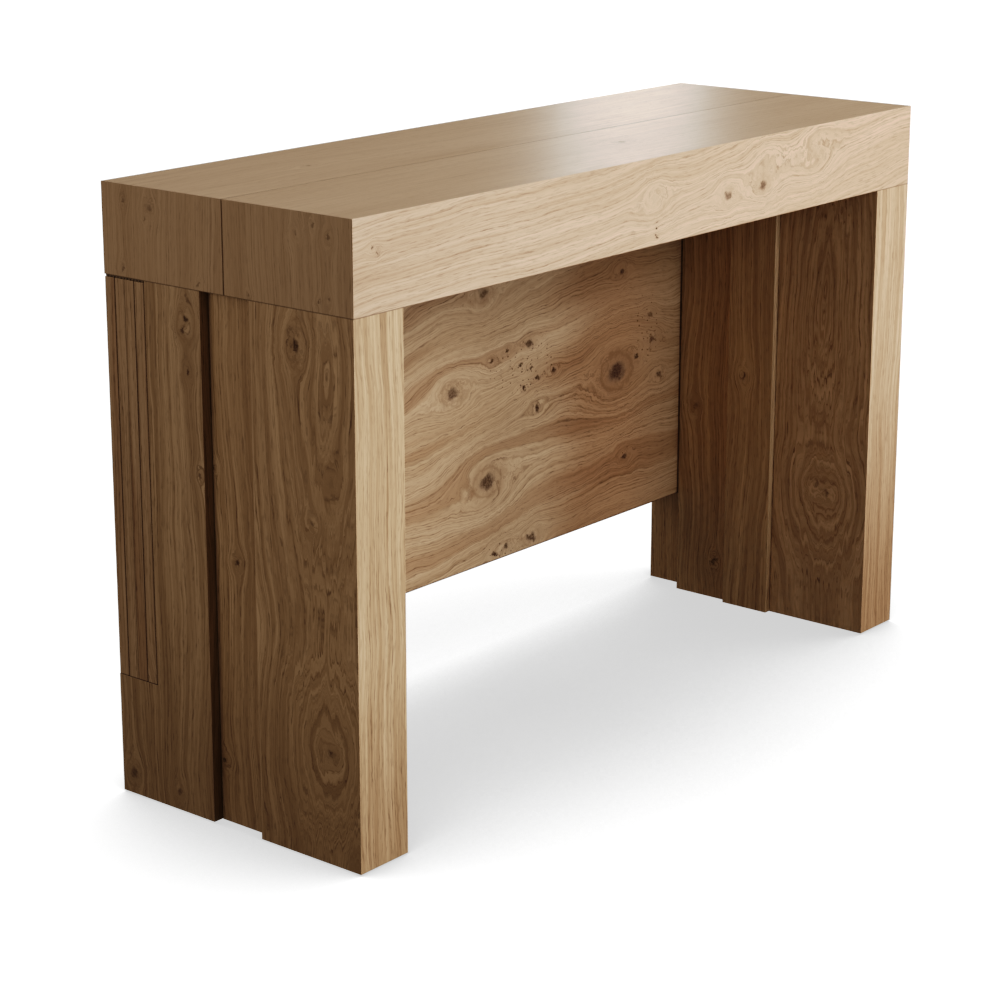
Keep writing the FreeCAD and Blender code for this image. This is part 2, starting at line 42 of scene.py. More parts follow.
# Short calls that add shader nodes to one tree
class Nodes:
    def __init__(self, tree):
        self.tree = tree

    def add(self, kind, **settings):
        node = self.tree.nodes.new(kind)
        for name, value in settings.items():
            setattr(node, name, value)
        return node

    def put(self, socket, value):
        if isinstance(value, bpy.types.NodeSocket):
            self.tree.links.new(value, socket)
        else:
            socket.default_value = value

    def math(self, operation, first, second=0.0, third=0.0, clamp=False):
        node = self.add("ShaderNodeMath", operation=operation, use_clamp=clamp)
        for socket, value in zip(node.inputs, (first, second, third)):
            self.put(socket, value)
        return node.outputs[0]

    def vector(self, x, y, z=0.0):
        node = self.add("ShaderNodeCombineXYZ")
        for socket, value in zip(node.inputs, (x, y, z)):
            self.put(socket, value)
        return node.outputs[0]

    def split(self, vector):
        node = self.add("ShaderNodeSeparateXYZ")
        self.put(node.inputs[0], vector)
        return node.outputs

    def noise(self, vector, scale, detail, roughness):
        node = self.add("ShaderNodeTexNoise")
        self.put(node.inputs["Vector"], vector)
        node.inputs["Scale"].default_value = scale
        node.inputs["Detail"].default_value = detail
        node.inputs["Roughness"].default_value = roughness
        return node.outputs["Fac"]

    # A smooth step from one value to another between a low and a high limit
    def span(self, value, low, high, to_low=0.0, to_high=1.0):
        node = self.add("ShaderNodeMapRange", interpolation_type="SMOOTHSTEP")
        for socket, number in zip(node.inputs, (value, low, high, to_low, to_high)):
            self.put(socket, number)
        return node.outputs[0]

    def mix(self, factor, first, second, blend="MIX"):
        node = self.add("ShaderNodeMix", data_type="RGBA", blend_type=blend, clamp_factor=True)
        self.put(node.inputs["Factor"], factor)
        self.put(node.inputs[6], first)
        self.put(node.inputs[7], second)
        return node.outputs[2]

    def bump(self, height, distance, strength, normal=None):
        node = self.add("ShaderNodeBump")
        node.inputs["Strength"].default_value = strength
        node.inputs["Distance"].default_value = distance
        self.put(node.inputs["Height"], height)
        if normal is not None:
            self.put(node.inputs["Normal"], normal)
        return node.outputs["Normal"]

    # A rounded normal, and how far it turns away from the flat face near an edge
    def edge(self, radius):
        rounded = self.add("ShaderNodeBevel", samples=4)
        rounded.inputs["Radius"].default_value = radius
        flat = self.add("ShaderNodeNewGeometry").outputs["Normal"]
        dot = self.add("ShaderNodeVectorMath", operation="DOT_PRODUCT")
        self.put(dot.inputs[0], rounded.outputs[0])
        self.put(dot.inputs[1], flat)
        return rounded.outputs[0], self.math("SUBTRACT", 1.0, dot.outputs["Value"], clamp=True)


def colour(red, green, blue):
    return (red, green, blue, 1.0)


def new_material(name):
    material = bpy.data.materials.new(name)
    material.use_nodes = True
    material.node_tree.nodes.clear()
    nodes = Nodes(material.node_tree)
    shader = nodes.add("ShaderNodeBsdfPrincipled")
    output = nodes.add("ShaderNodeOutputMaterial")
    material.node_tree.links.new(shader.outputs[0], output.inputs["Surface"])
    return material, nodes, shader


# Which two axes run along and across the grain on a face that looks along X, Y or Z
FACE_AXES = {
    "x": (("z", "y"), ("x", "z"), ("x", "y")),
    "y": (("y", "z"), ("x", "z"), ("y", "x")),
    "z": (("z", "y"), ("z", "x"), ("x", "y")),
}

# A face looks along an axis where its normal reaches further along it than this
FACE_LIMIT = 0.72

# How far apart in the log the cuts of two axes, and of two opposite faces, lie
AXIS_CUT = 1.7
SIDE_CUT = 0.35


# Veneer of one board: it lies flat on each face, with its own cut of the log
class Veneer:
    def __init__(self, nodes, grain, seed):
        self.nodes = nodes
        coordinates = nodes.add("ShaderNodeTexCoord").outputs
        self.place = dict(zip("xyz", nodes.split(coordinates["Object"])))
        self.normal = dict(zip("xyz", nodes.split(coordinates["Normal"])))
        self.along = 0.0
        self.across = 0.0
        cut = 0.0
        for number, (axis, (first, second)) in enumerate(zip("xyz", FACE_AXES[grain])):
            faces = self.facing(axis)
            self.along = nodes.math("MULTIPLY_ADD", self.place[first], faces, self.along)
            self.across = nodes.math("MULTIPLY_ADD", self.place[second], faces, self.across)
            side = nodes.math("MULTIPLY", nodes.math("SIGN", self.normal[axis]), SIDE_CUT)
            layer = nodes.math("ADD", side, AXIS_CUT * (number + 1))
            cut = nodes.math("MULTIPLY_ADD", layer, faces, cut)
        self.cut = nodes.math("ADD", cut, seed)

    # One on the faces that look along this axis, nought on the others
    def facing(self, axis):
        return self.nodes.math("GREATER_THAN", self.nodes.math("ABSOLUTE", self.normal[axis]), FACE_LIMIT)

    # Noise with its own scale along and across the grain
    def field(self, across, along_scale, across_scale, detail, roughness):
        along = self.nodes.math("MULTIPLY", self.along, along_scale)
        across = self.nodes.math("MULTIPLY", across, across_scale)
        return self.nodes.noise(self.nodes.vector(along, across, self.cut), 1.0, detail, roughness)


KNOT_INLETS = ("along", "across", "grain", "dark", "ring", "centre along", "centre across", "size", "depth")
KNOT_OUTLETS = ("grain", "dark", "ring")


# Knot: a node group that bends the grain round one knot and darkens its heart
def knot_group():
    tree = bpy.data.node_groups.new("knot", "ShaderNodeTree")
    for name in KNOT_INLETS:
        tree.interface.new_socket(name, in_out="INPUT", socket_type="NodeSocketFloat")
    for name in KNOT_OUTLETS:
        tree.interface.new_socket(name, in_out="OUTPUT", socket_type="NodeSocketFloat")
    nodes = Nodes(tree)
    inlet = nodes.add("NodeGroupInput").outputs
    outlet = nodes.add("NodeGroupOutput").inputs
    along = nodes.math("SUBTRACT", inlet["along"], inlet["centre along"])
    across = nodes.math("SUBTRACT", inlet["across"], inlet["centre across"])
    along = nodes.math("DIVIDE", along, inlet["size"])
    across_in_sizes = nodes.math("DIVIDE", across, inlet["size"])
    along_squared = nodes.math("MULTIPLY", along, along)
    across_squared = nodes.math("MULTIPLY", across_in_sizes, across_in_sizes)

    # The grain is pushed aside, less and less away from the knot
    wide = nodes.math("MULTIPLY_ADD", along_squared, 0.10, nodes.math("MULTIPLY", across_squared, 0.22))
    reach = nodes.math("EXPONENT", nodes.math("MULTIPLY", wide, -1.0))
    pushed = nodes.math("MULTIPLY", nodes.math("MULTIPLY", across, reach), -1.45)
    nodes.put(outlet["grain"], nodes.math("ADD", inlet["grain"], pushed))

    # A dark heart, and a brown rim and stain round it that small knots hardly have
    distance = nodes.math("SQRT", nodes.math("MULTIPLY_ADD", along_squared, 0.5, across_squared))
    heart = nodes.math("MULTIPLY", nodes.span(distance, 0.25, 0.70, 1.0, 0.0), inlet["depth"])
    nodes.put(outlet["dark"], nodes.math("MAXIMUM", inlet["dark"], heart))
    from_rim = nodes.math("ABSOLUTE", nodes.math("SUBTRACT", distance, 0.95))
    rim = nodes.span(from_rim, 0.02, 0.20, 1.0, 0.0)
    stain = nodes.math("MULTIPLY", nodes.span(distance, 0.6, 1.9, 1.0, 0.0), 0.55)
    brown = nodes.math("MULTIPLY", nodes.math("MAXIMUM", rim, stain), inlet["depth"])
    brown = nodes.math("MULTIPLY", brown, nodes.span(inlet["size"], 0.008, 0.020, 0.15, 1.0))
    nodes.put(outlet["ring"], nodes.math("MAXIMUM", inlet["ring"], brown))
    return tree


KNOT = knot_group()

OAK_LIGHT = colour(0.560, 0.402, 0.262)
OAK_MIDDLE = colour(0.455, 0.310, 0.188)
OAK_LINE = colour(0.245, 0.150, 0.083)
OAK_PORE = colour(0.150, 0.088, 0.048)
# Darkest brown of knot hearts and joint lines, and of the painted shade where the front leaf meets the legs
OAK_KNOT_AND_SHADE = colour(0.040, 0.013, 0.003)
# Multiplied in for darker bands of the grain and for the painted shadow of the legs on the leaves
OAK_BAND_AND_SHADOW = colour(0.62, 0.50, 0.42)
# Multiplied in as painted shade on the legs towards the floor and where they meet the next leg
OAK_PAINTED_SHADE = colour(0.50, 0.43, 0.37)
OAK_EDGE_RADIUS = 0.0010

# Noise of the oak: scale along the grain, scale across it, detail, roughness
RAGGED_FINE = (210.0, 210.0, 3.0, 0.65)
RAGGED_COARSE = (62.0, 62.0, 1.0, 0.5)
TEETH_NOISE = (5.0, 110.0, 2.0, 0.6)
RING_NOISE = (1.2, 55.0, 3.0, 0.6)
FIGURE_NOISE = (2.4, 150.0, 6.0, 0.66)
FIBRE_NOISE = (9.0, 700.0, 3.0, 0.6)
PORE_NOISE = (60.0, 560.0, 2.0, 0.55)
BROAD_NOISE = (1.3, 15.0, 3.0, 0.55)
BAND_NOISE = (1.5, 26.0, 2.0, 0.55)
CRACK_NOISE = (300.0, 330.0, 3.0, 0.6)

# Noise of the dashes, whose scale along the grain is the board's own: scale across, detail, roughness
DASH_NOISE = (420.0, 2.0, 0.6)

# Waves of the grain: scale along, scale across, reach, and the detail and roughness of all of them
GRAIN_WAVES = ((2.2, 3.6, 4.0), (9.0, 12.0, 0.75), (34.0, 44.0, 0.18))
WAVE_NOISE = (1.0, 0.5)

# What the ends of a board lose of these waves
END_CALM = -0.85

# How far a knot's outline strays, in metres, by the fine and by the coarse noise
FINE_REACH = 0.009
COARSE_REACH = 0.016

# Pin knots: cells to the metre, their stretch across the grain, and the share of cells left empty
PIN_SCALE = 88.0
PIN_STRETCH = 1.25
PIN_EMPTY = 0.40

# How far the arch reaches from its centre line, and how softly its parts meet, in metres of grain
ARCH_LIMIT = 0.055
ARCH_BLEND = 0.020

# How far the jagged teeth of the arch reach, in metres of grain
TEETH_REACH = 0.028

# Faces of a leg nearer to the middle of the table than this meet the next leg, where painted shade can darken
# them
MEETING_LIMIT = 0.1


# Waves of the grain, slow and small, and straighter on the ends of a board
def grain_flow(veneer, grain, wild, tilt):
    nodes = veneer.nodes
    calm = 1.0
    if grain == "x":
        calm = nodes.math("MULTIPLY_ADD", veneer.facing("x"), END_CALM, 1.0)
    flow = nodes.math("MULTIPLY_ADD", veneer.place["x"], -tilt, veneer.across)
    for along_scale, across_scale, reach in GRAIN_WAVES:
        wave = veneer.field(veneer.across, along_scale, across_scale, *WAVE_NOISE)
        shift = nodes.math("MULTIPLY", nodes.math("SUBTRACT", wave, 0.5), calm)
        flow = nodes.math("MULTIPLY_ADD", shift, wild * reach, flow)
    return flow


# The place along and across the grain, made ragged for the outlines of knots
def ragged_place(veneer):
    nodes = veneer.nodes
    fine = nodes.math("SUBTRACT", veneer.field(veneer.across, *RAGGED_FINE), 0.5)
    fine = nodes.math("MULTIPLY", fine, FINE_REACH)
    coarse = nodes.math("SUBTRACT", veneer.field(veneer.across, *RAGGED_COARSE), 0.5)
    ragged = nodes.math("MULTIPLY_ADD", coarse, COARSE_REACH, fine)
    return nodes.math("ADD", veneer.along, ragged), nodes.math("SUBTRACT", veneer.across, ragged)


# The grain bent round the knots, their dark hearts and their brown rings
def bend_round_knots(nodes, along, across, flow, knots):
    dark = 0.0
    ring = 0.0
    for centre_along, centre_across, size, depth in knots:
        knot = nodes.add("ShaderNodeGroup", node_tree=KNOT)
        values = (along, across, flow, dark, ring, centre_along, centre_across, size, depth)
        for socket, value in zip(knot.inputs, values):
            nodes.put(socket, value)
        flow, dark, ring = knot.outputs[0], knot.outputs[1], knot.outputs[2]
    return flow, dark, ring


# Pin knots scattered inside oval patches
def add_pins(veneer, dark, pins):
    nodes = veneer.nodes
    cells = nodes.add("ShaderNodeTexVoronoi", feature="F1", voronoi_dimensions="2D")
    flat = nodes.vector(veneer.along, nodes.math("MULTIPLY", veneer.across, PIN_STRETCH))
    nodes.put(cells.inputs["Vector"], flat)
    cells.inputs["Scale"].default_value = PIN_SCALE
    chance = nodes.split(cells.outputs["Color"])
    reach = nodes.math("MULTIPLY_ADD", chance[1], 0.13, 0.10)
    dots = nodes.span(cells.outputs["Distance"], 0.05, reach, 1.0, 0.0)
    dots = nodes.math("MULTIPLY", dots, nodes.math("GREATER_THAN", chance[0], PIN_EMPTY))
    for centre_along, centre_across, reach_along, reach_across in pins:
        part_along = nodes.math("DIVIDE", nodes.math("SUBTRACT", veneer.along, centre_along), reach_along)
        part_across = nodes.math("DIVIDE", nodes.math("SUBTRACT", veneer.across, centre_across), reach_across)
        oval = nodes.math("MULTIPLY", part_along, part_along)
        oval = nodes.math("MULTIPLY_ADD", part_across, part_across, oval)
        patch = nodes.span(oval, 0.6, 1.0, 0.95, 0.0)
        dark = nodes.math("MAXIMUM", dark, nodes.math("MULTIPLY", dots, patch))
    return dark


# Figure of a flat-sawn board: jagged rings that close round each centre and run straight between them
def closed_rings(veneer, along, flow, arch):
    nodes = veneer.nodes
    centre_across, centres = arch
    height = ARCH_LIMIT
    for centre_along, slope in centres:
        away = nodes.math("ABSOLUTE", nodes.math("SUBTRACT", along, centre_along))
        height = nodes.math("SMOOTH_MIN", nodes.math("MULTIPLY", away, slope), height, ARCH_BLEND)
    teeth = nodes.math("SUBTRACT", veneer.field(flow, *TEETH_NOISE), 0.5)
    height = nodes.math("MULTIPLY_ADD", teeth, TEETH_REACH, height)
    offset = nodes.math("SUBTRACT", flow, centre_across)
    offset_squared = nodes.math("MULTIPLY", offset, offset)
    return nodes.math("SQRT", nodes.math("MULTIPLY_ADD", height, height, offset_squared))


# Growth rings of unequal width and strength, dark at one edge and fading to the next
def growth_lines(veneer, flow, spacing, dash):
    nodes = veneer.nodes
    uneven = nodes.math("MULTIPLY", veneer.field(flow, *RING_NOISE), 4.0)
    rings = nodes.math("MULTIPLY_ADD", flow, 1.0 / spacing, uneven)
    fraction = nodes.math("FRACT", rings)
    fading = nodes.span(fraction, 0.08, 0.55, 1.0, 0.0)
    line = nodes.math("MULTIPLY", nodes.span(fraction, 0.0, 0.10), fading)
    slow = nodes.math("MULTIPLY", veneer.along, 4.0)
    ring_place = nodes.vector(slow, nodes.math("FLOOR", rings), veneer.cut)
    strength = nodes.noise(ring_place, 0.9, 2.0, 0.6)
    line = nodes.math("MULTIPLY", line, nodes.span(strength, 0.30, 0.66))
    dashes = nodes.span(veneer.field(flow, dash, *DASH_NOISE), 0.38, 0.60, 0.40, 1.0)
    return nodes.math("MULTIPLY", line, dashes)


# Painted shadow of the right-hand legs on a leaf, darker beyond a slanted line and lighter again towards the
# right end
def paint_leg_shadow(veneer, base, broad, painted_leg_shadow):
    nodes = veneer.nodes
    start, stop, amount = painted_leg_shadow
    slanted = nodes.math("MULTIPLY_ADD", veneer.place["z"], -0.12, veneer.place["x"])
    slanted = nodes.math("MULTIPLY_ADD", broad, 0.08, slanted)
    fading = nodes.span(veneer.place["x"], 0.34, 0.54, 1.0, 0.25)
    inside = nodes.math("MULTIPLY", nodes.span(slanted, start, stop, 0.0, amount), fading)
    return nodes.mix(inside, base, OAK_BAND_AND_SHADOW, "MULTIPLY")


# Painted shade of a leg towards the floor, stronger on its front and back, and painted shade where it meets
# the next leg
def paint_foot_shade(veneer, base, painted_foot_shade, painted_meeting_shade):
    nodes = veneer.nodes
    front_amount, side_amount, height = painted_foot_shade
    facing = veneer.facing("y")
    amount = nodes.math("MULTIPLY_ADD", facing, front_amount - side_amount, side_amount)
    # Painted shade, darker towards the floor
    low = nodes.span(veneer.place["z"], 0.0, height, amount, 0.0)
    base = nodes.mix(low, base, OAK_PAINTED_SHADE, "MULTIPLY")
    # Painted shade on the faces that meet the next leg
    inner = nodes.math("LESS_THAN", nodes.math("ABSOLUTE", veneer.place["y"]), MEETING_LIMIT)
    hidden = nodes.math("MULTIPLY", nodes.math("MULTIPLY", facing, inner), painted_meeting_shade)
    return nodes.mix(hidden, base, OAK_PAINTED_SHADE, "MULTIPLY")


# Stripes of one shade, only on the faces that they cross
def draw_stripes(veneer, base, shade, stripes):
    nodes = veneer.nodes
    for axis, value, width, strength in stripes:
        away = nodes.math("ABSOLUTE", nodes.math("SUBTRACT", veneer.place[axis], value))
        stripe = nodes.span(away, width * 0.6, width * 1.4, strength, 0.0)
        crossing = nodes.math("LESS_THAN", nodes.math("ABSOLUTE", veneer.normal[axis]), FACE_LIMIT)
        base = nodes.mix(nodes.math("MULTIPLY", stripe, crossing), base, shade)
    return base


# Oak veneer: grain lines, pores, streaks, knots, joint lines, satin lacquer
def oak(name, grain, seed, knots, wild, spacing, lines, joints, tilt=0.0, arch=None, gloss=0.42, tone=1.0,
        painted_foot_shade=None, painted_leg_shadow=None, pins=(), dash=52.0, streak=0.30, yellow=1.0, bands=0.0, painted_meeting_shade=0.0,
        painted_highlights=()):
    # Waves (wild), metres between rings (spacing), dark lines (lines), slant (tilt), roughness (gloss),
    # brightness (tone), shortness of dashes (dash), figure (streak), warmth (yellow), darker bands (bands),
    # painted shade between two legs (painted_meeting_shade), painted highlight stripes (painted_highlights),
    # and dark joint lines with painted corner shade (joints)
    material, nodes, shader = new_material(name)
    veneer = Veneer(nodes, grain, seed)
    flow = grain_flow(veneer, grain, wild, tilt)
    knot_along, knot_across = ragged_place(veneer)
    flow, dark, ring = bend_round_knots(nodes, knot_along, knot_across, flow, knots)
    if pins:
        dark = add_pins(veneer, dark, pins)
    if arch is not None:
        flow = closed_rings(veneer, knot_along, flow, arch)
    line = growth_lines(veneer, flow, spacing, dash)
    figure = nodes.span(veneer.field(flow, *FIGURE_NOISE), 0.34, 0.68)
    fibre = veneer.field(flow, *FIBRE_NOISE)
    pore = nodes.span(veneer.field(flow, *PORE_NOISE), 0.53, 0.66)
    pore = nodes.math("MULTIPLY", pore, nodes.math("MULTIPLY_ADD", line, 0.7, 0.3))
    broad = nodes.span(veneer.field(flow, *BROAD_NOISE), 0.28, 0.72)

    # Colour of the grain, from the broad figure down to pores and brown rings
    light, middle, deep = (colour(red * tone, green * tone, blue * tone / yellow)
                           for red, green, blue, _ in (OAK_LIGHT, OAK_MIDDLE, OAK_LINE))
    cloudy = nodes.math("MULTIPLY_ADD", broad, 0.6, nodes.math("MULTIPLY", figure, 0.4))
    base = nodes.mix(cloudy, light, middle)
    base = nodes.mix(nodes.math("MULTIPLY", line, lines), base, deep)
    base = nodes.mix(nodes.math("MULTIPLY", nodes.span(fibre, 0.38, 0.75), 0.28), base, deep)
    base = nodes.mix(nodes.math("MULTIPLY", figure, lines * streak), base, deep)
    base = nodes.mix(nodes.math("MULTIPLY", pore, lines * 0.95), base, OAK_PORE)
    base = nodes.mix(nodes.math("MULTIPLY", ring, 0.80), base, deep)

    # Darker bands, painted shadow on the leaves, painted shade on the legs, and the cracked hearts of knots
    if bands:
        band = nodes.span(veneer.field(flow, *BAND_NOISE), 0.50, 0.66, 0.0, bands)
        base = nodes.mix(band, base, OAK_BAND_AND_SHADOW, "MULTIPLY")
    if painted_leg_shadow is not None:
        base = paint_leg_shadow(veneer, base, broad, painted_leg_shadow)
    if painted_foot_shade is not None:
        base = paint_foot_shade(veneer, base, painted_foot_shade, painted_meeting_shade)
    cracked = nodes.span(veneer.field(veneer.across, *CRACK_NOISE), 0.40, 0.58, 0.72, 1.0)
    base = nodes.mix(nodes.math("MULTIPLY", dark, cracked), base, OAK_KNOT_AND_SHADE)

    # Worn edges, painted highlight stripes, and dark joint lines with painted shade where the front leaf
    # meets the legs
    rounded, edge = nodes.edge(OAK_EDGE_RADIUS)
    base = nodes.mix(nodes.math("MULTIPLY", edge, 2.4), base, light)
    base = draw_stripes(veneer, base, light, painted_highlights)
    base = draw_stripes(veneer, base, OAK_KNOT_AND_SHADE, joints)
    nodes.put(shader.inputs["Base Color"], base)

    # Lacquer that is duller on knots and pores, and relief
    rough = nodes.math("MULTIPLY_ADD", fibre, 0.14, gloss - 0.07)
    rough = nodes.math("MULTIPLY_ADD", dark, 0.50, rough)
    nodes.put(shader.inputs["Roughness"], nodes.math("MULTIPLY_ADD", pore, 0.15, rough))
    relief = nodes.math("MULTIPLY_ADD", pore, -0.9, nodes.math("MULTIPLY", line, -0.25))
    relief = nodes.math("MULTIPLY_ADD", fibre, 0.4, relief)
    relief = nodes.math("MULTIPLY_ADD", dark, -0.7, relief)
    nodes.put(shader.inputs["Normal"], nodes.bump(relief, 0.0004, 0.35, rounded))
    return material


# Noise of the beech: scale along the grain, scale across it, detail, roughness
BEECH_WAVE = (3.0, 14.0, 2.0, 0.5)
BEECH_BAND = (1.5, 110.0, 3.0, 0.6)
BEECH_FLECK = (120.0, 1300.0, 1.0, 0.5)


# Beech of the hidden blocks and battens
def beech(name, grain, seed):
    material, nodes, shader = new_material(name)
    veneer = Veneer(nodes, grain, seed)
    wave = veneer.field(veneer.across, *BEECH_WAVE)
    flow = nodes.math("MULTIPLY_ADD", wave, 0.02, veneer.across)
    band = veneer.field(flow, *BEECH_BAND)
    fleck = nodes.span(veneer.field(flow, *BEECH_FLECK), 0.60, 0.70)
    base = nodes.mix(nodes.span(band, 0.30, 0.70), colour(0.56, 0.38, 0.24), colour(0.46, 0.29, 0.17))
    base = nodes.mix(nodes.math("MULTIPLY", fleck, 0.5), base, colour(0.25, 0.14, 0.08))
    rounded, edge = nodes.edge(0.0012)
    base = nodes.mix(edge, base, colour(0.62, 0.45, 0.30))
    nodes.put(shader.inputs["Base Color"], base)
    nodes.put(shader.inputs["Roughness"], nodes.span(band, 0.2, 0.8, 0.50, 0.68))
    height = nodes.math("MULTIPLY_ADD", fleck, -1.0, nodes.math("MULTIPLY", band, 0.5))
    nodes.put(shader.inputs["Normal"], nodes.bump(height, 0.0003, 0.4, rounded))
    return material


# Scale of the drawing lines on the rails, across and along Y
DRAWN_ACROSS = 1400.0
DRAWN_ALONG = 3.0


# Satin aluminium of the rails, drawn along Y
def aluminium(name, seed):
    material, nodes, shader = new_material(name)
    coordinates = nodes.add("ShaderNodeTexCoord").outputs["Object"]
    place = nodes.split(coordinates)
    drawn = nodes.vector(nodes.math("MULTIPLY", place[0], DRAWN_ACROSS),
                         nodes.math("MULTIPLY_ADD", place[1], DRAWN_ALONG, seed),
                         nodes.math("MULTIPLY", place[2], DRAWN_ACROSS))
    lines = nodes.noise(drawn, 1.0, 3.0, 0.6)
    cloud = nodes.noise(coordinates, 45.0, 3.0, 0.6)
    rubbed = nodes.span(nodes.math("MULTIPLY", lines, cloud), 0.20, 0.36)
    base = nodes.mix(rubbed, colour(0.66, 0.67, 0.68), colour(0.80, 0.81, 0.81))
    rounded, edge = nodes.edge(0.0006)
    base = nodes.mix(edge, base, colour(0.92, 0.92, 0.92))
    nodes.put(shader.inputs["Base Color"], base)
    shader.inputs["Metallic"].default_value = 1.0
    uneven = nodes.math("MULTIPLY_ADD", cloud, 0.5, lines)
    nodes.put(shader.inputs["Roughness"], nodes.span(uneven, 0.4, 1.1, 0.28, 0.48))
    nodes.put(shader.inputs["Normal"], nodes.bump(lines, 0.00008, 0.35, rounded))
    return material


# Zinc-plated steel of bolts, screws and plates
def zinc_steel(name):
    material, nodes, shader = new_material(name)
    place = nodes.add("ShaderNodeTexCoord").outputs["Object"]
    spangle = nodes.add("ShaderNodeTexVoronoi", feature="F1")
    nodes.put(spangle.inputs["Vector"], place)
    spangle.inputs["Scale"].default_value = 420.0
    cloud = nodes.noise(place, 160.0, 4.0, 0.65)
    tint = nodes.math("MULTIPLY_ADD", spangle.outputs["Distance"], 0.5, cloud)
    base = nodes.mix(nodes.span(tint, 0.3, 1.0), colour(0.46, 0.47, 0.49), colour(0.66, 0.66, 0.64))
    rounded, edge = nodes.edge(0.0005)
    base = nodes.mix(edge, base, colour(0.85, 0.85, 0.85))
    nodes.put(shader.inputs["Base Color"], base)
    shader.inputs["Metallic"].default_value = 1.0
    nodes.put(shader.inputs["Roughness"], nodes.span(cloud, 0.25, 0.75, 0.26, 0.50))
    nodes.put(shader.inputs["Normal"], nodes.bump(tint, 0.00006, 0.35, rounded))
    return material


# How much paler the nylon is at its specks and where it is scuffed
SPECK_GAIN = 1.9
SCUFF_GAIN = 3.5


# Moulded nylon of the glides and buffers, from its own colour
def nylon(name, red, green, blue):
    material, nodes, shader = new_material(name)
    place = nodes.add("ShaderNodeTexCoord").outputs["Object"]
    speckle = nodes.noise(place, 900.0, 3.0, 0.7)
    scuff = nodes.noise(place, 120.0, 4.0, 0.6)
    pale = colour(SPECK_GAIN * red, SPECK_GAIN * green, SPECK_GAIN * blue)
    rubbed = colour(SCUFF_GAIN * red, SCUFF_GAIN * green, SCUFF_GAIN * blue)
    base = nodes.mix(nodes.span(speckle, 0.35, 0.70), colour(red, green, blue), pale)
    base = nodes.mix(nodes.math("MULTIPLY", nodes.span(scuff, 0.55, 0.75), 0.5), base, rubbed)
    nodes.put(shader.inputs["Base Color"], base)
    nodes.put(shader.inputs["Roughness"], nodes.span(scuff, 0.3, 0.7, 0.45, 0.70))
    nodes.put(shader.inputs["Normal"], nodes.bump(speckle, 0.0001, 0.4))
    return material


def dress(node, material):
    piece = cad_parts[node]
    piece.data.materials.clear()
    piece.data.materials.append(material)


# Knots of the boards, each as metres along and across the grain, size and darkness
FRONT_LEAF_KNOTS = (
    (-0.030, 0.415, 0.016, 0.80), (0.045, 0.274, 0.022, 0.90), (0.342, 0.377, 0.028, 1.00),
    (0.391, 0.391, 0.009, 1.00), (0.428, 0.410, 0.010, 0.80), (0.449, 0.353, 0.009, 0.90),
    (0.055, 0.445, 0.007, 1.00), (0.088, 0.454, 0.006, 1.00), (0.139, 0.454, 0.010, 0.95),
    (0.121, 0.426, 0.007, 1.00), (0.143, 0.419, 0.006, 1.00), (0.155, 0.404, 0.007, 1.00),
    (0.193, 0.407, 0.007, 1.00), (0.155, 0.359, 0.008, 1.00), (0.128, 0.392, 0.006, 1.00),
    (0.353, 0.524, 0.008, 0.90), (0.038, 0.543, 0.014, 0.80), (0.363, 0.244, 0.009, 0.95),
    (0.144, 0.171, 0.013, 0.90), (0.089, 0.169, 0.008, 0.90), (0.062, 0.164, 0.007, 1.00),
    (0.423, 0.449, 0.008, 0.70),
)
FRONT_APRON_KNOTS = (
    (-0.027, 0.718, 0.012, 0.06), (-0.025, 0.690, 0.003, 1.00), (-0.024, 0.680, 0.003, 1.00),
    (-0.024, 0.670, 0.003, 0.90), (0.132, 0.702, 0.011, 0.75), (0.212, 0.705, 0.012, 0.80),
    (0.219, 0.733, 0.016, 0.06), (0.341, 0.735, 0.018, 0.05), (-0.549, 0.730, 0.004, 0.80),
)
LEFT_FRONT_LEG_KNOTS = (
    (0.616, -0.111, 0.011, 0.85), (0.140, -0.154, 0.009, 0.45), (0.141, -0.155, 0.004, 0.80),
    (0.412, -0.131, 0.006, 0.60), (0.465, -0.163, 0.008, 0.15),
)
LEFT_REAR_LEG_KNOTS = (
    (0.625, 0.062, 0.008, 0.85), (0.610, 0.067, 0.006, 0.70), (0.559, 0.063, 0.005, 0.75),
    (0.028, 0.181, 0.010, 0.65), (0.025, 0.100, 0.006, 0.55), (0.438, 0.046, 0.005, 0.60),
)
LEFT_MIDDLE_LEG_KNOTS = (
    (0.336, 0.002, 0.006, 0.80), (0.082, 0.031, 0.006, 0.80), (0.448, 0.036, 0.004, 0.60),
)
LEFT_FRONT_SIDE_KNOTS = (
    (0.756, -0.141, 0.004, 0.50), (0.746, -0.164, 0.005, 0.50), (0.744, -0.114, 0.005, 0.40),
    (0.673, -0.161, 0.004, 0.55), (0.665, -0.040, 0.003, 0.55), (0.671, -0.148, 0.003, 0.55),
)
LEFT_REAR_SIDE_KNOTS = (
    (0.750, 0.163, 0.004, 0.45), (0.746, 0.118, 0.006, 0.40), (0.669, 0.167, 0.004, 0.50),
    (0.666, 0.041, 0.003, 0.55), (0.735, 0.125, 0.003, 0.40),
)
RIGHT_FRONT_LEG_KNOTS = ((0.204, -0.132, 0.010, 0.60), (0.215, -0.115, 0.007, 0.50))
RIGHT_MIDDLE_LEG_KNOTS = ((0.361, 0.011, 0.007, 0.75),)
RIGHT_REAR_LEG_KNOTS = ((0.060, 0.063, 0.007, 0.75), (0.298, 0.103, 0.006, 0.50))
RIGHT_FRONT_SIDE_KNOTS = ((0.70, -0.09, 0.005, 0.70),)
RIGHT_REAR_SIDE_KNOTS = ((0.72, 0.12, 0.005, 0.70),)
REAR_TOP_KNOTS = ((-0.35, 0.09, 0.008, 0.35),)
